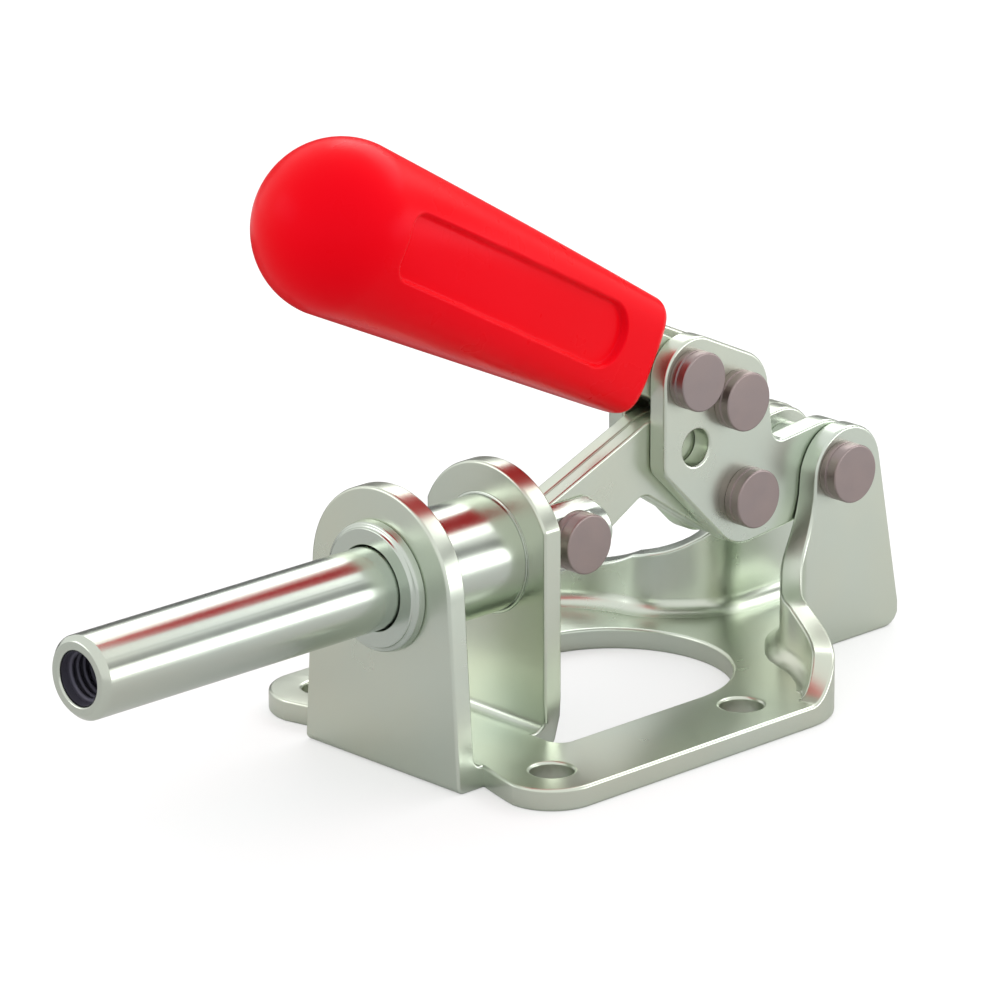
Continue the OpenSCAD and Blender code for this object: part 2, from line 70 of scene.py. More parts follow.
def placeCamera(settings):
    a, e, roll = (math.radians(settings[k]) for k in ("azimuth", "elevation", "roll"))
    back = Vector((math.sin(a) * math.cos(e), -math.cos(a) * math.cos(e), math.sin(e)))
    level = Vector((math.cos(a), math.sin(a), 0))
    right = math.cos(roll) * level + math.sin(roll) * back.cross(level)
    up = back.cross(right)
    data = bpy.data.cameras.new("photoCamera")
    data.sensor_width = settings["sensor"]
    data.lens = settings["lens"]
    data.clip_end = settings["farClip"]
    camera = bpy.data.objects.new("photoCamera", data)
    scene.collection.objects.link(camera)
    turn = Matrix((right, up, back)).transposed().to_4x4()
    place = (Vector(settings["target"]) + back * settings["distance"]) * mm
    camera.matrix_world = Matrix.Translation(place) @ turn
    scene.camera = camera


placeCamera(photoCamera)
print("camera placed")

noiseSpan = (0.2, 0.8)  # the part of a noise that a finish is spread over
grainDepth = 0.02  # in mm


def newMaterial(name):
    material = bpy.data.materials.new(name)
    material.use_nodes = True
    tree = material.node_tree
    return material, tree, tree.nodes["Principled BSDF"]


def objectNoise(tree, scale, detail, stretch=(1, 1, 1)):
    place = tree.nodes.new("ShaderNodeTexCoord").outputs["Object"]
    mapping = tree.nodes.new("ShaderNodeMapping")
    mapping.inputs["Scale"].default_value = stretch
    noise = tree.nodes.new("ShaderNodeTexNoise")
    noise.inputs["Scale"].default_value = scale
    noise.inputs["Detail"].default_value = detail
    tree.links.new(place, mapping.inputs["Vector"])
    tree.links.new(mapping.outputs["Vector"], noise.inputs["Vector"])
    return noise.outputs["Fac"]


def tintBetween(tree, value, low, high):
    ramp = tree.nodes.new("ShaderNodeValToRGB")
    for stop, at, colour in zip(ramp.color_ramp.elements, noiseSpan, (low, high)):
        stop.position = at
        stop.color = (*colour, 1)
    tree.links.new(value, ramp.inputs["Fac"])
    return ramp.outputs["Color"]


def valueBetween(tree, value, low, high, span=noiseSpan):
    spread = tree.nodes.new("ShaderNodeMapRange")
    for socket, number in zip(("From Min", "From Max", "To Min", "To Max"), (*span, low, high)):
        spread.inputs[socket].default_value = number
    tree.links.new(value, spread.inputs["Value"])
    return spread.outputs["Result"]


def combine(tree, operation, first, second):
    node = tree.nodes.new("ShaderNodeMath")
    node.operation = operation
    tree.links.new(first, node.inputs[0])
    tree.links.new(second, node.inputs[1])
    return node.outputs[0]


def bumpFrom(tree, height, strength):
    bump = tree.nodes.new("ShaderNodeBump")
    bump.inputs["Strength"].default_value = strength
    bump.inputs["Distance"].default_value = grainDepth * mm
    tree.links.new(height, bump.inputs["Height"])
    return bump.outputs["Normal"]


# tint, patches and grain are noises: (scale, detail) and how far they are stretched
def newFinish(name, f):
    material, tree, shader = newMaterial(name)
    tint = tintBetween(tree, objectNoise(tree, *f["tint"]), *f["colours"])
    tree.links.new(tint, shader.inputs["Base Color"])
    roughness = valueBetween(tree, objectNoise(tree, *f["patches"]), *f["roughness"])
    tree.links.new(roughness, shader.inputs["Roughness"])
    return material, tree, shader


def metalFinish(name, f):
    material, tree, shader = newFinish(name, f)
    shader.inputs["Metallic"].default_value = 1.0
    if "grain" in f:
        normal = bumpFrom(tree, objectNoise(tree, *f["grain"]), f["grainStrength"])
        tree.links.new(normal, shader.inputs["Normal"])
    return material


sheetSteel = metalFinish("sheetSteel", {
    "colours": ((0.62, 0.70, 0.635), (0.70, 0.715, 0.58)), "tint": (26, 3.0),
    "roughness": (0.26, 0.32), "patches": (80, 4.0)})
turnedSteel = metalFinish("turnedSteel", {
    "colours": ((0.56, 0.63, 0.58), (0.62, 0.65, 0.56)), "tint": (20, 3.0),
    "roughness": (0.2, 0.26), "patches": (110, 4.0),
    "grain": (700, 2.0, (8.0, 0.4, 0.4)), "grainStrength": 0.10})
rivetSteel = metalFinish("rivetSteel", {
    "colours": ((0.31, 0.262, 0.26), (0.36, 0.287, 0.272)), "tint": (160, 3.0),
    "roughness": (0.34, 0.44), "patches": (400, 4.0),
    "grain": (3200, 2.0), "grainStrength": 0.35})
# steel of the bore, painted dark as the shade inside the deep bore
boreSteelPaintedShade = metalFinish("boreSteelPaintedShade", {
    "colours": ((0.15, 0.148, 0.19), (0.17, 0.163, 0.2)), "tint": (300, 3.0),
    "roughness": (0.65, 0.75), "patches": (500, 4.0),
    "grain": (1500, 2.0), "grainStrength": 0.3})


def vinylFinish(name, f):
    material, tree, shader = newFinish(name, f)
    shader.inputs["Specular IOR Level"].default_value = f["gloss"]
    shader.inputs["Specular Tint"].default_value = f["glossTint"]
    return material


gripRed = vinylFinish("gripRed", {
    "colours": ((0.82, 0.002, 0.006), (0.88, 0.003, 0.010)), "tint": (35, 2.0),
    "roughness": (0.26, 0.31), "patches": (140, 3.0),
    "gloss": 0.08, "glossTint": (1, 0.2, 0.55, 1)})
print("materials made")


def addPiece(name, bm, material, body, node):
    mesh = bpy.data.meshes.new(name)
    for face in bm.faces:
        face.smooth = True
    bm.to_mesh(mesh)
    bm.free()
    mesh.materials.append(material)
    piece = bpy.data.objects.new(name, mesh)
    scene.collection.objects.link(piece)
    normals = piece.modifiers.new("normals", "WEIGHTED_NORMAL")
    normals.weight = 50
    normals.keep_sharp = True
    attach(piece, body)
    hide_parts(node)


def wholeOf(bm):
    return bm.verts[:] + bm.edges[:] + bm.faces[:]


def vertsIn(made):
    return [part for part in made["geom"] if isinstance(part, bmesh.types.BMVert)]


def edgesIn(made):
    return [part for part in made["geom"] if isinstance(part, bmesh.types.BMEdge)]


def weld(bm, gap=weldGap):
    bmesh.ops.remove_doubles(bm, verts=bm.verts, dist=gap)


def faceOutwards(bm):
    bmesh.ops.recalc_face_normals(bm, faces=bm.faces)
    return bm


def mirrored(bm, axis):
    bmesh.ops.mirror(bm, geom=wholeOf(bm), axis=axis, merge_dist=0)
    return faceOutwards(bm)


def joinInto(bm, other):
    mesh = bpy.data.meshes.new("joined")
    other.to_mesh(mesh)
    other.free()
    bm.from_mesh(mesh)
    bpy.data.meshes.remove(mesh)


def roundCorner(bm, corner, radius, segments):
    bmesh.ops.bevel(bm, geom=[corner], offset=radius * mm, segments=segments, profile=0.5,
                    affect="VERTICES", clamp_overlap=False, material=-1)


# rolls over every outer corner of a stamped or milled shape
def breakEdges(bm, width, segments=3):
    corners = [e for e in bm.edges if len(e.link_faces) == 2 and e.is_convex
               and e.calc_face_angle() > sharpAngle]
    bmesh.ops.bevel(bm, geom=corners, offset=width * mm, segments=segments, profile=0.5,
                    affect="EDGES", clamp_overlap=False, miter_outer="ARC", material=-1)
    return bm


# a copy of a CAD node, its loose triangles joined into whole faces
def mergedCopy(node):
    bm = bmesh.new()
    bm.from_mesh(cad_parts[node].data)
    weld(bm, cadGap)
    bmesh.ops.dissolve_limit(bm, angle_limit=flatAngle, use_dissolve_boundaries=False,
                             verts=bm.verts, edges=bm.edges, delimit=set())
    return bm


# stamped plates: the edge is the radius left by tumbling, in mm
stampedPlates = {
    "link_plate_near": {"body": "link", "edge": 0.4},
    "link_plate_far": {"body": "link", "edge": 0.4},
    "handle_plate_near": {"body": "handle", "edge": 0.5},
    "handle_plate_far": {"body": "handle", "edge": 0.5},
    "handle_bar": {"body": "handle", "edge": 0.4},
}
for node, plate in stampedPlates.items():
    shape = breakEdges(mergedCopy(node), plate["edge"])
    addPiece(node + "_stamped", shape, sheetSteel, plate["body"], node)
print("stamped plates made")


# base, folded from one sheet; lengths in mm
foldedBase = {
    "sheet": 3.5, "edge": 0.5, "fold": 1.5, "foot": 1.2, "lift": 0.01,
    # flange: its front edge slants out from the front upright's foot to a ledge
    "front": 28.3, "halfWidth": 33.3, "frontCorner": 8.0, "ledge": 0.4,
    "slantBack": 0.8, "slantShare": 0.56, "slantCorner": 2.2,
    "holes": (20.0, 25.0), "holeRadius": 3.3,
    # window between the uprights and the shoulders: front, rear and half its width
    "window": (11.7, -35.9, 18.2), "windowCorner": 2.5, "windowSlack": 0.001,
    # floor under the ear: behind the shoulder's end, half its width, ahead of the ear's foot
    "tail": (1, 8.0, 1.6),
    "axis": 28.8, "sleeveHole": 9.03, "joint": 8.0,
    "frontFace": 31.2, "frontFoot": 16.9, "frontHead": 15.0, "frontLap": 1.2,
    "rearBack": 6.1, "rearFoot": 11.3, "rearHalf": 12.9, "rearHead": 14.1, "rearLap": 1.5,
    "rearFlare": 5,  # the rear foot widens up to this height
    "outlineSteps": 16, "windowSteps": 30, "sideSteps": 8, "holeSteps": 56,
    "pathSteps": 40, "archSteps": 60,
}
# outer face of the shoulder from the flange corner to the ear: (length, turn) in mm and degrees
shoulder = {
    "path": ((8.83, 46.0), (13.64, 30.4), (3.42, -32.7), (4.42, 0.0), (6.48, -43.7)),
    "end": (-52.5, 9.8), "sunk": 0.03,
    # where it leaves the flange: length, and height below the sheet's top
    "lead": ((-1.6, 0.1), (-0.4, 0.02)),
    # its top edge, as curves of length and height
    "top": (((0, 3.5), (3.2, 3.9), (5.6, 8.3), (9.6, 9.3)),
            ((9.6, 9.3), (14.0, 10.2), (18.6, 10.5), (22.6, 12.7)),
            ((22.6, 12.7), (28.5, 14.3), (35.6, 14.9), (36.18, 27.7))),
    "topSteps": 14,
    # radius inside the fold, kept below a share of the height, and the strip's inner foot
    "fillet": 2.6, "filletLeast": 0.02, "filletShare": 0.7, "filletSteps": 6, "innerFoot": 0.6,
}
ear = {
    "head": (-59.2, 28.15), "radius": 7.3, "headStart": 4, "headSteps": 22,
    "foot": -71.9, "corner": 3.0, "cornerSteps": 6, "footShort": 0.12, "footThick": 0.05,
}
# turns of a flat drawing: into the middle plane, and upright across the plunger
intoMiddle = Matrix(((1, 0, 0, 0), (0, 0, 1, 0), (0, 1, 0, 0), (0, 0, 0, 1)))
acrossPlunger = Matrix(((0, 0, 1, 0), (1, 0, 0, 0), (0, 1, 0, 0), (0, 0, 0, 1)))


# corners are (x, y, rounding) in mm
def flatLoop(corners, segments):
    bm = bmesh.new()
    verts = [bm.verts.new((x * mm, y * mm, 0)) for x, y, _ in corners]
    bm.faces.new(verts)
    for vert, (_, _, soft) in zip(verts, corners):
        if soft:
            roundCorner(bm, vert, soft, segments)
    weld(bm)
    return bm


# a flat blank with holes, from z = 0 up to its thickness
def blankOf(b, outline, holes, windows=()):
    bm = flatLoop(outline, b["outlineSteps"])
    for window in windows:
        joinInto(bm, flatLoop(window, b["windowSteps"]))
    bmesh.ops.delete(bm, geom=bm.faces[:], context="FACES_ONLY")
    for x, y, r in holes:
        bmesh.ops.create_circle(bm, cap_ends=False, radius=r * mm, segments=b["holeSteps"],
                                matrix=Matrix.Translation((x * mm, y * mm, 0)))
    bmesh.ops.triangle_fill(bm, edges=bm.edges[:], use_beauty=True, use_dissolve=False)
    raised = vertsIn(bmesh.ops.extrude_face_region(bm, geom=bm.faces[:]))
    bmesh.ops.translate(bm, verts=raised, vec=(0, 0, b["sheet"] * mm))
    return faceOutwards(bm)


# welds what the bevel laid on itself and drops the flaps that leaves
def closeUp(bm):
    weld(bm)
    flaps = [f for f in bm.faces if any(len(edge.link_faces) == 1 for edge in f.edges)]
    bmesh.ops.delete(bm, geom=flaps, context="FACES")
    return bm


def arcPoints(centre, radius, first, last, count):
    turns = [math.radians(first + (last - first) * i / count) for i in range(count + 1)]
    return [(centre[0] + radius * math.cos(a), centre[1] + radius * math.sin(a)) for a in turns]


def curveAt(points, t):
    a, b, c, d = (Vector(p) for p in points)
    return (1 - t) ** 3 * a + 3 * t * (1 - t) ** 2 * b + 3 * t * t * (1 - t) * c + t ** 3 * d


def pathLength(w):
    return sum(length for length, _ in w["path"])


# walks the shoulder's outer face: point and heading after the length s
def walkShoulder(s, w, start):
    x, y = start
    heading = math.pi
    for length, turn in w["path"]:
        part = min(s, length)
        if turn:
            radius = length / math.radians(turn)
            after = heading + part / radius
            x += radius * (math.sin(after) - math.sin(heading))
            y -= radius * (math.cos(after) - math.cos(heading))
            heading = after
        else:
            x += part * math.cos(heading)
            y += part * math.sin(heading)
        s -= part
        if s <= 0:
            break
    return x, y, heading


def inwards(x, y, heading, depth):
    return x - depth * math.sin(heading), y + depth * math.cos(heading)


def makeFloorPlate(b, w, e, start):
    x, y, foot = b["front"], b["halfWidth"], b["frontFoot"]
    toe = b["frontFace"] - b["fold"] - b["sheet"]
    ledge = y - b["frontCorner"] - b["ledge"]
    slant = (x - b["slantBack"], foot + b["slantShare"] * (ledge - foot), b["slantCorner"])
    near = [(toe, foot, 0), slant, (x, ledge, 0), (x, y, b["frontCorner"]), (start[0], y, 0)]
    total = pathLength(w)
    for i in range(1, b["pathSteps"] + 1):
        place = walkShoulder(total * i / b["pathSteps"], w, start)
        near.append((*inwards(*place, w["sunk"]), 0))
    behind, half, ahead = b["tail"]
    near += [(w["end"][0] - behind, half, 0), (e["foot"] + ahead, half, 0)]
    far = [(px, -py, soft) for px, py, soft in reversed(near)]
    front, rear, half = b["window"]
    rearCorner = half - b["windowSlack"]
    window = [(front, half, b["windowCorner"]), (rear, half, rearCorner),
              (rear, -half, rearCorner), (front, -half, b["windowCorner"])]
    hx, hy = b["holes"]
    holes = [(sx * hx, sy * hy, b["holeRadius"]) for sx in (-1, 1) for sy in (-1, 1)]
    return breakEdges(blankOf(b, near + far, holes, [window]), b["edge"])


# an upright: its folded foot is drawn across the base, its head is a blank with the sleeve's hole
def makeUpright(b, side, widthAt, head, back):
    bm = flatLoop(side, b["sideSteps"])
    raised = vertsIn(bmesh.ops.extrude_face_region(bm, geom=bm.faces[:]))
    lowered = [v for v in bm.verts if v not in raised]
    bmesh.ops.translate(bm, verts=lowered, vec=(0, 0, -mm))
    bmesh.ops.translate(bm, verts=raised, vec=(0, 0, mm))
    bmesh.ops.transform(bm, verts=bm.verts, matrix=intoMiddle)
    for v in bm.verts:
        v.co.y *= widthAt(v.co.z / mm)
    blank = blankOf(b, head, [(0, b["axis"], b["sleeveHole"])])
    bmesh.ops.transform(blank, verts=blank.verts,
                        matrix=Matrix.Translation((back * mm, 0, 0)) @ acrossPlunger)
    joinInto(bm, blank)
    level = b["joint"] * mm
    inside = [f for f in bm.faces if all(abs(v.co.z - level) < weldGap for v in f.verts)]
    bmesh.ops.delete(bm, geom=inside, context="FACES")
    weld(bm)
    return breakEdges(faceOutwards(bm), b["edge"])


def makeFrontUpright(b):
    face, t, lift = b["frontFace"], b["sheet"], b["lift"]
    slope = (b["frontFoot"] - b["frontHead"]) / b["axis"]

    def widthAt(z):
        return b["frontFoot"] - slope * z

    heel = face - t - b["fold"] - b["frontLap"]
    side = [(heel, lift, 0), (face, lift, b["foot"]), (face, b["joint"], 0),
            (face - t, b["joint"], 0), (face - t, t + lift, b["fold"]), (heel, t + lift, 0)]
    wide = widthAt(b["joint"])
    arch = arcPoints((0, b["axis"]), b["frontHead"], 0, 180, b["archSteps"])
    head = [(wide, b["joint"], 0)] + [(x, z, 0) for x, z in arch] + [(-wide, b["joint"], 0)]
    return makeUpright(b, side, widthAt, head, face - t)


def makeRearUpright(b):
    back, t, lift = b["rearBack"], b["sheet"], b["lift"]

    def widthAt(z):
        return b["rearFoot"] + (b["rearHalf"] - b["rearFoot"]) * min(1, z / b["rearFlare"])

    toe = b["window"][0] + b["rearLap"]
    side = [(toe, lift, 0), (back, lift, b["foot"]), (back, b["rearFlare"], 0),
            (back, b["joint"], 0), (back + t, b["joint"], 0), (back + t, t + lift, b["fold"]),
            (toe, t + lift, 0)]
    wide, r = b["rearHalf"], b["rearHead"]
    first = math.degrees(math.acos(wide / r))
    arch = arcPoints((0, b["axis"]), r, first, 180 - first, b["archSteps"])
    head = [(wide, b["joint"], 0)] + [(x, z, 0) for x, z in arch] + [(-wide, b["joint"], 0)]
    return makeUpright(b, side, widthAt, head, back)


# stations are (length, lowest z, highest z); the ear's go over its head, down its straight back
# and round the corner of its foot
def earStations(e, origin):
    cx, cz = e["head"]
    foot, corner = e["foot"], e["corner"]
    lean = math.atan2(cx - foot, cz)
    reach = math.asin(e["radius"] / math.hypot(cx - foot, cz))
    last = 90 + math.degrees(math.pi / 2 - lean + reach)
    rim = arcPoints((cx, cz), e["radius"], e["headStart"], last, e["headSteps"])
    stations = [(origin - x, 0, z) for x, z in rim]
    grade = rim[-1][1] / (rim[-1][0] - foot)
    half = math.atan(grade) / 2
    run = corner / math.tan(half)
    centre = foot + run
    cornerTop = foot + run * math.cos(2 * half)
    leftmost = centre - corner + e["footShort"]
    for i in range(e["cornerSteps"] + 1):
        x = centre + (leftmost - centre) * math.sin(math.pi / 2 * i / e["cornerSteps"])
        rise = math.sqrt(max(0, corner ** 2 - (centre - x) ** 2))
        low = corner - rise
        high = corner + rise if x < cornerTop else (x - foot) * grade
        stations.append((origin - x, low, max(high, low + e["footThick"])))
    return stations


# one ring of the strip: up its outer face, over the top and down round the inside of the fold
def shoulderRing(b, w, start, s, low, high):
    total = pathLength(w)
    if s <= total:
        x, y, heading = walkShoulder(max(s, 0), w, start)
        x -= min(s, 0)
    else:
        x, y, heading = w["end"][0] - (s - total), w["end"][1], math.pi
    t = b["sheet"]
    sunk = w["sunk"] * max(0, min(1, 1 - s))
    soft = max(w["filletLeast"], min(w["fillet"], (high - t) * w["filletShare"]))
    points = [(sunk, low), (sunk, high), (t, high)]
    for i in range(w["filletSteps"] + 1):
        a = math.radians(90 * i / w["filletSteps"])
        points.append((t + soft - soft * math.cos(a), t + soft - soft * math.sin(a)))
    points.append((t + soft, low + w["innerFoot"]))
    ring = []
    for depth, z in points:
        px, py = inwards(x, y, heading, depth)
        ring.append((px * mm, py * mm, min(z, high) * mm))
    return ring


# shoulder and ear are one strip of sheet standing on the floor, drawn from ring to ring
def makeShoulder(b, w, e, start):
    stations = [(s, 0, b["sheet"] - drop) for s, drop in w["lead"]]
    for curve in w["top"]:
        for i in range(w["topSteps"]):
            s, z = curveAt(curve, i / w["topSteps"])
            stations.append((s, 0, z))
    stations += earStations(e, pathLength(w) + w["end"][0])
    bm = bmesh.new()
    verts = [bm.verts.new(place) for place in shoulderRing(b, w, start, *stations[0])]
    edges = bm.faces.new(verts).edges[:]
    for station in stations[1:]:
        made = bmesh.ops.extrude_edge_only(bm, edges=edges)
        edges = edgesIn(made)
        for vert, place in zip(vertsIn(made), shoulderRing(b, w, start, *station)):
            vert.co = place
    bmesh.ops.contextual_create(bm, geom=edges)
    weld(bm, 2 * weldGap)
    return mirrored(breakEdges(faceOutwards(bm), b["edge"]), "Y")


def makeBase(b, w, e):
    ahead = walkShoulder(math.inf, w, (0, 0))
    start = (w["end"][0] - ahead[0], b["halfWidth"])
    bm = makeFloorPlate(b, w, e, start)
    for part in (makeFrontUpright(b), makeRearUpright(b), makeShoulder(b, w, e, start)):
        joinInto(bm, closeUp(part))
    return bm


addPiece("base_folded", makeBase(foldedBase, shoulder, ear), sheetSteel, "base",
         "base_bracket")
print("base made")


# profile corners are (along, radius, rounding) in mm, spun about the X axis
def turned(profile, steps, rounding=4):
    bm = bmesh.new()
    corners = [bm.verts.new((a * mm, 0, r * mm)) for a, r, _ in profile]
    bm.faces.new(corners)
    for corner, (_, _, soft) in zip(corners, profile):
        if soft:
            roundCorner(bm, corner, soft, rounding)
    bmesh.ops.delete(bm, geom=bm.faces[:], context="FACES_ONLY")
    onAxis = [e for e in bm.edges if all(abs(v.co.z) < fineGap for v in e.verts)]
    bmesh.ops.delete(bm, geom=onAxis, context="EDGES")
    bmesh.ops.spin(bm, geom=bm.verts[:] + bm.edges[:], cent=(0, 0, 0), axis=(1, 0, 0),
                   angle=math.tau, steps=steps, use_merge=True)
    weld(bm, fineGap)
    return faceOutwards(bm)


# turns a shape made along X to lie across the clamp, at x and z in metres
def lieAcross(bm, x, z):
    quarter = Matrix.Rotation(math.pi / 2, 3, "Z")
    bmesh.ops.rotate(bm, verts=bm.verts, cent=(0, 0, 0), matrix=quarter)
    bmesh.ops.translate(bm, verts=bm.verts, vec=(x, 0, z))
    return bm


# rivet heads have a clinched foot, a shallow groove and a flat crown; lengths in mm
rivetShape = {
    "shank": 3.6, "foot": 1.15, "footEdge": 0.12, "groove": 0.22, "grooveDepth": 0.2,
    "grooveEdge": 0.1, "grooveSlant": 0.06, "crownEdge": 0.28, "steps": 64,
}
# the seat is where the head starts, measured from the middle plane
rivets = {
    "pivot_rivet": {"body": "base", "seat": 9.8},
    "link_rivet": {"body": "handle", "seat": 6.2},
    "front_grip_rivet": {"body": "handle", "seat": 6.2},
    "rear_grip_rivet": {"body": "handle", "seat": 6.2},
}


def headProfile(seat, top, radius, h):
    waist, rise = radius - h["grooveDepth"], seat + h["foot"]
    return [(seat, radius, h["footEdge"]), (rise, radius, h["grooveEdge"]),
            (rise + h["grooveSlant"], waist, 0), (rise + h["groove"], waist, 0),
            (rise + h["groove"] + h["grooveSlant"], radius, h["grooveEdge"]),
            (top, radius, h["crownEdge"])]


# where the CAD's rivet lies, in metres, then its half length and radius in mm
def headSize(node):
    low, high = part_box(node)
    return (low.x + high.x) / 2, (low.z + high.z) / 2, high.y / mm, (high.z - low.z) / 2 / mm


for node, rivet in rivets.items():
    x, z, top, radius = headSize(node)
    seat, shank = rivet["seat"], rivetShape["shank"]
    head = headProfile(seat, top, radius, rivetShape)
    profile = [(-top, 0, 0)] + [(-a, r, soft) for a, r, soft in reversed(head)]
    profile += [(-seat, shank, 0), (seat, shank, 0)] + head + [(top, 0, 0)]
    shape = lieAcross(turned(profile, rivetShape["steps"]), x, z)
    addPiece(node + "_turned", shape, rivetSteel, rivet["body"], node)

# the link's front pin is one clinched end in each cheek of the plunger
forkPin = {"inner": 2.75, "innerEdge": 0.2, "seat": 5.15}


def makeForkPin(p, h):
    x, z, top, radius = headSize("plunger_rivet")
    profile = [(p["inner"], 0, 0), (p["inner"], h["shank"], p["innerEdge"]),
               (p["seat"], h["shank"], 0)]
    profile += headProfile(p["seat"], top, radius, h) + [(top, 0, 0)]
    return lieAcross(mirrored(turned(profile, h["steps"]), "X"), x, z)


addPiece("plunger_rivet_turned", makeForkPin(forkPin, rivetShape), rivetSteel, "plunger",
         "plunger_rivet")
print("rivets made")

# guide sleeve along X; corners are (along, radius, rounding) from the place that is named
guideSleeve = {
    "bore": 6.4, "body": 9.0, "collar": 10.1, "face": 31.2, "rearFace": 9.6, "steps": 96,
    "rearBoreEdge": 0.2, "rearEdge": 0.35,
    # ring swaged on the rear upright, above the body
    "swage": ((0, 0, 0), (0, 0.45, 0), (0.1, 0.3, 0.08), (0.15, 0, 0)),
    # root of the collar on the front upright and its rounded front, below its radius
    "collarRoot": ((0, 0.15, 0), (0.12, 0.15, 0), (0.2, 0, 0.1)),
    "collarFront": ((0.55, 0.25, 0.3), (0.42, 0.85, 0), (0.3, 0.95, 0), (0, 1.0, 0.18)),
    "mouth": 0.25, "mouthEdge": 0.08, "mouthDepth": 0.5,
}


def makeSleeve(g):
    low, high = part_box("guide_sleeve")
    rear, tip = low.x / mm, high.x / mm
    bore, body, collar = g["bore"], g["body"], g["collar"]
    profile = [(rear, bore, g["rearBoreEdge"]), (rear, body, g["rearEdge"])]
    profile += [(g["rearFace"] + a, body + r, soft) for a, r, soft in g["swage"]]
    profile += [(g["face"], body, 0)]
    profile += [(g["face"] + a, collar - r, soft) for a, r, soft in g["collarRoot"]]
    profile += [(tip - a, collar - r, soft) for a, r, soft in g["collarFront"]]
    profile += [(tip, bore + g["mouth"], g["mouthEdge"]), (tip - g["mouthDepth"], bore, 0)]
    bm = turned(profile, g["steps"])
    bmesh.ops.translate(bm, verts=bm.verts, vec=(0, 0, (low.z + high.z) / 2))
    return bm


addPiece("guide_sleeve_turned", makeSleeve(guideSleeve), turnedSteel, "base",
         "guide_sleeve")

pivotSpacer = {"edge": 0.25}
addPiece("pivot_spacer_turned", breakEdges(mergedCopy("pivot_spacer"), pivotSpacer["edge"]),
         turnedSteel, "handle", "pivot_spacer")

# plunger: the milled fork is kept, the bar in front of the cut is drawn out to the tip
plungerBar = {
    "cut": 40.0, "edge": 0.35, "radius": 6.35, "tipRing": 5.5, "chamfer": 0.85,
    # rounded start of the chamfer: (ahead of it, below the bar's radius)
    "chamferRings": ((-0.35, 0), (-0.1, 0.03), (0.08, 0.13)),
    # rounded edge of the end face: (behind the tip, above the tip ring's radius)
    "faceRings": ((0.2, 0.2), (0.05, 0.05), (0, -0.1)),
    "bore": 4.0, "boreGap": 0.02, "boreDepth": 21.9, "boreEnd": 0.1,
    "lead": 0.35, "leadEdge": (0.03, 0.08),
}
# thread in the tip; the last three are shares of its pitch
plungerThread = {
    "pitch": 1.25, "crest": 0.6, "turns": 13, "turnSteps": 48,
    "liningOut": 0.01, "liningIn": 0.04, "liningStart": 0.1, "liningEnd": (0.2, 0.1),
    "runIn": 1.1, "rootHalf": 0.46, "crestHalf": 0.08,
}


def drawLoop(bm, edges, stations, axisZ):
    for x, scale in stations:
        made = bmesh.ops.extrude_edge_only(bm, edges=edges)
        verts, edges = vertsIn(made), edgesIn(made)
        bmesh.ops.translate(bm, verts=verts, vec=(x * mm - verts[0].co.x, 0, 0))
        bmesh.ops.scale(bm, verts=verts, vec=(1, scale, scale),
                        space=Matrix.Translation((0, 0, -axisZ)))
    return edges


# turns radii into the share by which each ring is scaled from the one before
def ratios(rings, start):
    steps = []
    for x, r in rings:
        steps.append((x, r / start))
        start = r
    return steps


def makePlunger(p):
    low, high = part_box("plunger")
    tip, axisZ = high.x / mm, (low.z + high.z) / 2
    bm = breakEdges(mergedCopy("plunger"), p["edge"])
    bmesh.ops.bisect_plane(bm, geom=wholeOf(bm), dist=weldGap, plane_co=(p["cut"] * mm, 0, 0),
                           plane_no=(1, 0, 0), clear_outer=True)
    rim = [e for e in bm.edges if len(e.link_faces) == 1]
    chamfer, lead = tip - p["chamfer"], p["bore"] + p["lead"]
    wall, bottom = p["bore"] + p["boreGap"], tip - p["boreDepth"]
    edgeBack, edgeOut = p["leadEdge"]
    rings = [(chamfer + a, p["radius"] - r) for a, r in p["chamferRings"]]
    rings += [(tip - a, p["tipRing"] + r) for a, r in p["faceRings"]]
    rings += [(tip, lead + edgeOut), (tip - edgeBack, lead), (tip - p["lead"], wall)]
    rim = drawLoop(bm, rim, ratios(rings, p["radius"]), axisZ)
    deep = [(bottom, wall), (bottom - p["boreEnd"], p["bore"] - p["boreEnd"])]
    rim = drawLoop(bm, rim, ratios(deep, wall), axisZ)
    bmesh.ops.contextual_create(bm, geom=rim)
    return faceOutwards(bm)


# a lining of the bore and one triangular ridge wound along it, both in dark steel that is painted
# shade inside the deep bore
def makeThread(p, t):
    low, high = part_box("plunger")
    tip, axisZ = high.x / mm, (low.z + high.z) / 2
    mouth, bottom = tip - p["lead"], tip - p["boreDepth"]
    outer, inner = p["bore"] + t["liningOut"], p["bore"] - t["liningIn"]
    wallEnd, floorEnd = t["liningEnd"]
    bm = turned([(mouth, outer, 0), (mouth - t["liningStart"], inner, 0),
                 (bottom + wallEnd, inner, 0), (bottom + floorEnd, 0, 0),
                 (bottom, 0, 0), (bottom, outer, 0)], t["turnSteps"])
    pitch, crest = t["pitch"], p["bore"] - t["crest"]
    start = mouth - t["runIn"] * pitch
    ridge = [bm.verts.new((x * mm, 0, r * mm)) for x, r in (
        (start - t["rootHalf"] * pitch, p["bore"]), (start + t["rootHalf"] * pitch, p["bore"]),
        (start + t["crestHalf"] * pitch, crest), (start - t["crestHalf"] * pitch, crest))]
    face = bm.faces.new(ridge)
    bmesh.ops.spin(bm, geom=ridge + face.edges[:] + [face], cent=(0, 0, 0), axis=(1, 0, 0),
                   dvec=(-pitch * mm / t["turnSteps"], 0, 0), angle=math.tau * t["turns"],
                   steps=t["turnSteps"] * t["turns"])
    faceOutwards(bm)
    bmesh.ops.translate(bm, verts=bm.verts, vec=(0, 0, axisZ))
    return bm


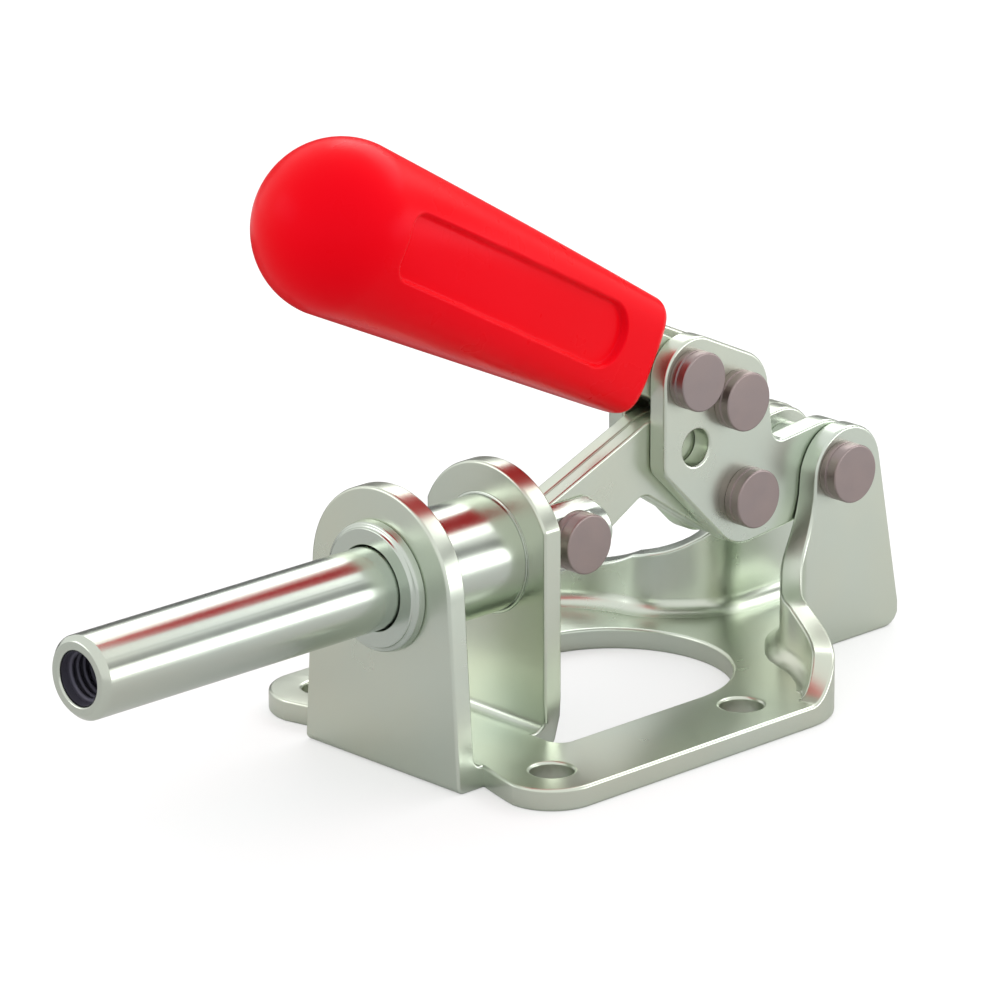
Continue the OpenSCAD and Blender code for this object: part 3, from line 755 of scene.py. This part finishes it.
addPiece("plunger_bar", makePlunger(plungerBar), turnedSteel, "plunger", "plunger")
addPiece("plunger_thread", makeThread(plungerBar, plungerThread), boreSteelPaintedShade, "plunger",
         "plunger")
print("turned pieces made")

# grip: s runs from the handle pivot along the grip, w across it; lengths in mm
gripShape = {
    "pivot": (-57.3, 28.8), "lean": 28.5, "rise": 3.9, "start": 45.5, "end": 123.5, "nose": 12.7,
    "startHeight": 18.8, "startThick": 15.0, "ball": 26.56, "squareStart": 4.2, "squareEnd": 2.0,
    # recess in each side, cut where a point lies more than sideShare of its reach sideways
    "recessRear": 55.2, "recessFront": 109.8, "recessHalf": 5.3, "recessUp": 0.6,
    "rearCorner": 5.25, "frontCorner": 3.2, "recessDepth": 1.1, "rim": 0.55, "sideShare": 0.4,
    # socket for the bar: half thickness and half height
    "socket": (3.0, 5.4), "socketDepth": 9.0, "socketSquare": 9, "socketEdge": 0.3,
    # rounded edge of the end face: (along, in from the side), then where the body starts
    "endRings": ((0, 1.3), (0.12, 0.75), (0.42, 0.3), (0.95, 0.05)), "bodyStart": 1.5,
    "stations": 230, "noseRings": 26, "points": 264,
    "least": 1e-6,  # the last ring is this small, and the weld closes it
}


# half height, half thickness and squareness at s
def gripSize(s, g):
    belly = g["end"] - g["nose"]
    t = max(0, min(1, (s - g["start"]) / (belly - g["start"])))
    q = 1 if s <= belly else math.sqrt(max(0, 1 - ((s - belly) / g["nose"]) ** 2))
    tall = (g["startHeight"] + (g["ball"] - g["startHeight"]) * t) / 2 * q
    thick = (g["startThick"] + (g["ball"] - g["startThick"]) * math.sin(math.pi / 2 * t)) / 2 * q
    return tall, thick, g["squareStart"] + (g["squareEnd"] - g["squareStart"]) * t


# share of the recess depth at a point of the side, 0 outside its outline and 1 on its floor
def recessShare(s, w, g):
    middle = (g["recessRear"] + g["recessFront"]) / 2
    r = g["rearCorner"] if s < middle else g["frontCorner"]
    x = max(g["recessRear"] + r - s, s - (g["recessFront"] - r))
    y = abs(w - g["recessUp"]) - (g["recessHalf"] - r)
    outside = math.hypot(max(x, 0), max(y, 0)) + min(max(x, y), 0) - r
    t = max(0, min(1, -outside / g["rim"]))
    return t * t * (3 - 2 * t)


def makeGrip(g):
    belly = g["end"] - g["nose"]
    lean = math.radians(g["lean"])
    bm = bmesh.new()
    ring = bmesh.ops.create_circle(bm, cap_ends=False, radius=1, segments=g["points"])["verts"]
    angles = [math.atan2(v.co.y, v.co.x) for v in ring]
    edges = bm.edges[:]

    def setRing(verts, s, tall, thick, square):
        for v, a in zip(verts, angles):
            ca, sa = math.cos(a), math.sin(a)
            reach = (abs(ca / thick) ** square + abs(sa / tall) ** square) ** (-1 / square)
            y, w = reach * ca, reach * sa
            if abs(ca) > g["sideShare"]:
                y -= math.copysign(g["recessDepth"] * recessShare(s, w, g), y)
            w += g["rise"]
            v.co = (mm * (g["pivot"][0] + s * math.cos(lean) - w * math.sin(lean)), mm * y,
                    mm * (g["pivot"][1] + s * math.sin(lean) + w * math.cos(lean)))

    def nextRing(edges, s, tall, thick, square):
        made = bmesh.ops.extrude_edge_only(bm, edges=edges)
        setRing(vertsIn(made), s, tall, thick, square)
        return edgesIn(made)

    # from the bottom of the bar's socket, out to the end face and over its rounded edge
    thin, high = g["socket"]
    start, lip, corner = g["start"], g["socketEdge"], g["socketSquare"]
    setRing(ring, start + g["socketDepth"], high, thin, corner)
    bmesh.ops.contextual_create(bm, geom=edges)
    edges = nextRing(edges, start + lip, high, thin, corner)
    edges = nextRing(edges, start, high + lip, thin + lip, corner)
    tall, thick, square = gripSize(start, g)
    for s, shrink in g["endRings"]:
        edges = nextRing(edges, start + s, tall - shrink, thick - shrink, square)
    first = start + g["bodyStart"]
    for i in range(g["stations"] + 1):
        s = first + (belly - first) * i / g["stations"]
        edges = nextRing(edges, s, *gripSize(s, g))
    for i in range(1, g["noseRings"] + 1):
        s = belly + g["nose"] * math.sin(math.pi / 2 * i / g["noseRings"])
        tall, thick, square = gripSize(s, g)
        edges = nextRing(edges, s, max(tall, g["least"]), max(thick, g["least"]), square)
    weld(bm, fineGap)
    return faceOutwards(bm)


addPiece("grip_moulded", makeGrip(gripShape), gripRed, "handle", "grip")
print("grip made")

studioAim = (0, 0, 30)  # what lamps and cards face, in mm


def matteFinish(name, colour):
    material, tree, shader = newMaterial(name)
    shader.inputs["Base Color"].default_value = (*colour, 1)
    shader.inputs["Roughness"].default_value = 1.0
    shader.inputs["Specular IOR Level"].default_value = 0.0
    return material, tree, shader


# 1 for the rays that see the studio itself: the camera's, and those mirrored in metal
def seesStudio(tree):
    path = tree.nodes.new("ShaderNodeLightPath")
    seen = path.outputs["Is Camera Ray"]
    for other in ("Is Glossy Ray", "Is Transmission Ray"):
        seen = combine(tree, "MAXIMUM", seen, path.outputs[other])
    return seen


def addPlane(name, width, height):
    bm = bmesh.new()
    bmesh.ops.create_grid(bm, x_segments=1, y_segments=1, size=0.5)
    bmesh.ops.scale(bm, verts=bm.verts, vec=(width * mm, height * mm, 1))
    mesh = bpy.data.meshes.new(name)
    bm.to_mesh(mesh)
    bm.free()
    plane = bpy.data.objects.new(name, mesh)
    scene.collection.objects.link(plane)
    return plane


# the glow is what the camera sees, the sheen what metal mirrors
studioFloor = {"size": 6000, "colour": (0.5, 0.5, 0.5), "glow": 0.46, "sheen": 0.06}


def makeFloor(settings):
    floor = addPlane("floor", settings["size"], settings["size"])
    material, tree, shader = matteFinish("paleFloor", settings["colour"])
    shader.inputs["Emission Color"].default_value = white
    camera = tree.nodes.new("ShaderNodeLightPath").outputs["Is Camera Ray"]
    level = valueBetween(tree, camera, settings["sheen"], settings["glow"], (0, 1))
    glow = combine(tree, "MULTIPLY", seesStudio(tree), level)
    tree.links.new(glow, shader.inputs["Emission Strength"])
    floor.data.materials.append(material)


studioWorld = {"light": 1.1, "seen": 1.0}


def makeWorld(settings):
    world = bpy.data.worlds.new("studio")
    scene.world = world
    world.use_nodes = True
    tree = world.node_tree
    background = tree.nodes["Background"]
    background.inputs["Color"].default_value = white
    level = valueBetween(tree, seesStudio(tree), settings["light"], settings["seen"], (0, 1))
    tree.links.new(level, background.inputs["Strength"])


def facing(at, towards):
    place = Vector(at) * mm
    turn = (Vector(towards) * mm - place).to_track_quat("-Z", "Y")
    return Matrix.Translation(place) @ turn.to_matrix().to_4x4()


# soft lamps; the level is the brightness that metal sees in the lamp, 1 being white
lamps = {
    "topPanel": {"at": (-470, -120, 460), "size": (860, 300), "level": 1.9},
    "sidePanel": {"at": (-520, 560, 130), "size": (620, 260), "level": 2.4},
    "frontPanel": {"at": (560, -440, 370), "size": (460, 240), "level": 1.7},
}


def makeLamps(settings):
    for name, lamp in settings.items():
        data = bpy.data.lights.new(name, "AREA")
        data.shape = "RECTANGLE"
        data.size, data.size_y = (side * mm for side in lamp["size"])
        data.energy = lamp["level"] * math.pi * data.size * data.size_y
        light = bpy.data.objects.new(name, data)
        scene.collection.objects.link(light)
        light.matrix_world = facing(lamp["at"], studioAim)
        light.visible_camera = False


# dark cards that only the metal sees: painted dark reflections that draw the edges of steel, the
# flat ones a painted darker floor mirrored in the metal
cards = {
    "rearCard": {"at": (-420, -440, 132), "size": (900, 264), "shade": 0.12},
    "farCard": {"at": (-80, -180, 0.4), "size": (300, 240), "shade": 0.08, "flat": True},
    "bandCard": {"at": (-450, 330, 300), "size": (700, 150), "shade": 0.25},
    "frontCard": {"at": (160, -150, 0.4), "size": (240, 240), "shade": 0.5, "flat": True},
}


def makePaintedReflections(settings):
    for name, card in settings.items():
        plane = addPlane(name, *card["size"])
        if card.get("flat"):
            plane.matrix_world = Matrix.Translation(Vector(card["at"]) * mm)
        else:
            plane.matrix_world = facing(card["at"], studioAim)
        plane.data.materials.append(matteFinish(name + "Shade", [card["shade"]] * 3)[0])
        # hidden from every ray but those the metal mirrors, so each card is only a painted
        # reflection
        for ray in ("camera", "diffuse", "transmission", "volume_scatter", "shadow"):
            setattr(plane, "visible_" + ray, False)


makeFloor(studioFloor)
makeWorld(studioWorld)
makeLamps(lamps)
makePaintedReflections(cards)
print("studio made")
